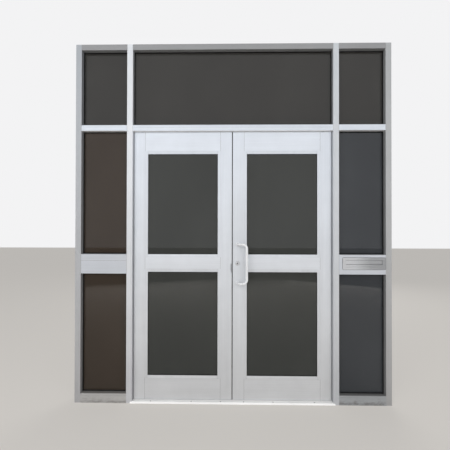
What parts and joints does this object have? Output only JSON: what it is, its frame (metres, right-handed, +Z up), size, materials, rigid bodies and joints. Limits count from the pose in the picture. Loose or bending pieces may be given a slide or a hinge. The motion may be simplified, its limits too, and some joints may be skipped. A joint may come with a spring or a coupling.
{
  "type": "aluminium and glass entrance with double doors, sidelights and transom lights",
  "caption": "Shopfront entrance in its aluminium frame: outswing glazed leaves on pivots, glazed side and top lights, an offset pull, a deadlock and a mail slot.",
  "frame": {"origin": "on the finished floor, on the meeting line of the two leaves, at mid depth of the frame", "axes": "+X to the right seen from the street, +Y into the building, +Z up"},
  "size_m": [2.47, 0.1559, 2.816],
  "materials": {
    "satin_aluminium": "clear anodised satin",
    "leaf_aluminium": "pale satin finish",
    "mill_aluminium": "bright ribbed extrusion",
    "clear_glass": "clear float glass in sealed units",
    "black_rubber": "matt black",
    "black_pile": "woven pile",
    "cast_iron": "painted casting",
    "steel": "machined steel",
    "pull_finish": "polished and lacquered bar",
    "brushed_plate": "brushed plate",
    "lock_chrome": "satin chrome"
  },
  "bodies": {
    "frame": {"jamb_left": "satin_aluminium", "jamb_right": "satin_aluminium", "mullion_left": "satin_aluminium", "mullion_right": "satin_aluminium", "head_left": "satin_aluminium", "head_center": "satin_aluminium", "head_right": "satin_aluminium", "transom_bar_left": "satin_aluminium", "transom_bar_center": "satin_aluminium", "transom_bar_right": "satin_aluminium", "mid_rail_left": "satin_aluminium", "mid_rail_right": "satin_aluminium", "sill_left": "satin_aluminium", "sill_right": "satin_aluminium", "threshold": "mill_aluminium", "pocket_fillers": "satin_aluminium", "header_stop": "satin_aluminium", "header_weatherstrip": "black_pile", "transom_glass": "clear_glass", "sidelight_glass_left": "clear_glass", "sidelight_glass_right": "clear_glass", "frame_glass_seals": "black_rubber", "closers": "cast_iron", "floor_pivots": "steel", "mail_plate": "brushed_plate", "mail_chute": "brushed_plate"},
    "leaf_left": {"left_hinge_stile": "leaf_aluminium", "left_meeting_stile": "leaf_aluminium", "left_top_rail": "leaf_aluminium", "left_mid_rail": "leaf_aluminium", "left_bottom_rail": "leaf_aluminium", "left_glazing_stops": "leaf_aluminium", "left_glass": "clear_glass", "left_glass_seals": "black_rubber", "left_top_arm": "steel", "left_bottom_arm": "steel", "left_edge_plates": "brushed_plate", "left_bolt_guides": "steel"},
    "leaf_right": {"right_hinge_stile": "leaf_aluminium", "right_meeting_stile": "leaf_aluminium", "right_top_rail": "leaf_aluminium", "right_mid_rail": "leaf_aluminium", "right_bottom_rail": "leaf_aluminium", "right_glazing_stops": "leaf_aluminium", "right_glass": "clear_glass", "right_glass_seals": "black_rubber", "right_top_arm": "steel", "right_bottom_arm": "steel", "pull_handle": "pull_finish", "pull_bolts": "steel", "lock_case": "steel", "lock_cylinders": "lock_chrome", "meeting_seal": "black_pile"},
    "mail_flap": {"mail_flap": "brushed_plate"},
    "flush_bolt_top": {"flush_bolt_top": "steel"},
    "flush_bolt_bottom": {"flush_bolt_bottom": "steel"},
    "key_plug": {"key_plug": "lock_chrome"},
    "thumbturn": {"thumbturn": "lock_chrome"},
    "deadbolt": {"deadbolt": "steel"}
  },
  "joints": [
    {"name": "leaf_left_swing", "type": "hinge", "parent": "frame", "child": "leaf_left", "pos_m": [-0.71515, 0, 1.07], "axis": [0, 0, -1], "range_deg": [0, 105], "stiffness_Nm_per_rad": 8, "springref_deg": -11.46},
    {"name": "leaf_right_swing", "type": "hinge", "parent": "frame", "child": "leaf_right", "pos_m": [0.71515, 0, 1.07], "axis": [0, 0, 1], "range_deg": [0, 105], "stiffness_Nm_per_rad": 8, "springref_deg": -11.46},
    {"name": "mail_flap_hinge", "type": "hinge", "parent": "frame", "child": "mail_flap", "pos_m": [1.023, -0.05385, 1.125], "axis": [1, 0, 0], "range_deg": [0, 80], "stiffness_Nm_per_rad": 0.02, "springref_deg": -17.19},
    {"name": "flush_bolt_top_slide", "type": "slide", "parent": "leaf_left", "child": "flush_bolt_top", "axis": [0, 0, 1], "range_m": [0, 0.0155]},
    {"name": "flush_bolt_bottom_slide", "type": "slide", "parent": "leaf_left", "child": "flush_bolt_bottom", "axis": [0, 0, -1], "range_m": [0, 0.0155]},
    {"name": "thumb_turn", "type": "hinge", "parent": "leaf_right", "child": "thumbturn", "pos_m": [0.0416, 0, 1.09], "axis": [0, 1, 0], "range_deg": [0, 90]},
    {"name": "key_turn", "type": "hinge", "parent": "leaf_right", "child": "key_plug", "pos_m": [0.0416, 0, 1.09], "axis": [0, 1, 0], "range_deg": [0, 90]},
    {"name": "deadbolt_slide", "type": "slide", "parent": "leaf_right", "child": "deadbolt", "axis": [-1, 0, 0], "range_m": [0, 0.0254]}
  ],
  "couplings": [
    {"joint": "thumb_turn", "follows": "deadbolt_slide", "rad_per_m": 61.84},
    {"joint": "key_turn", "follows": "deadbolt_slide", "rad_per_m": 61.84}
  ]
}
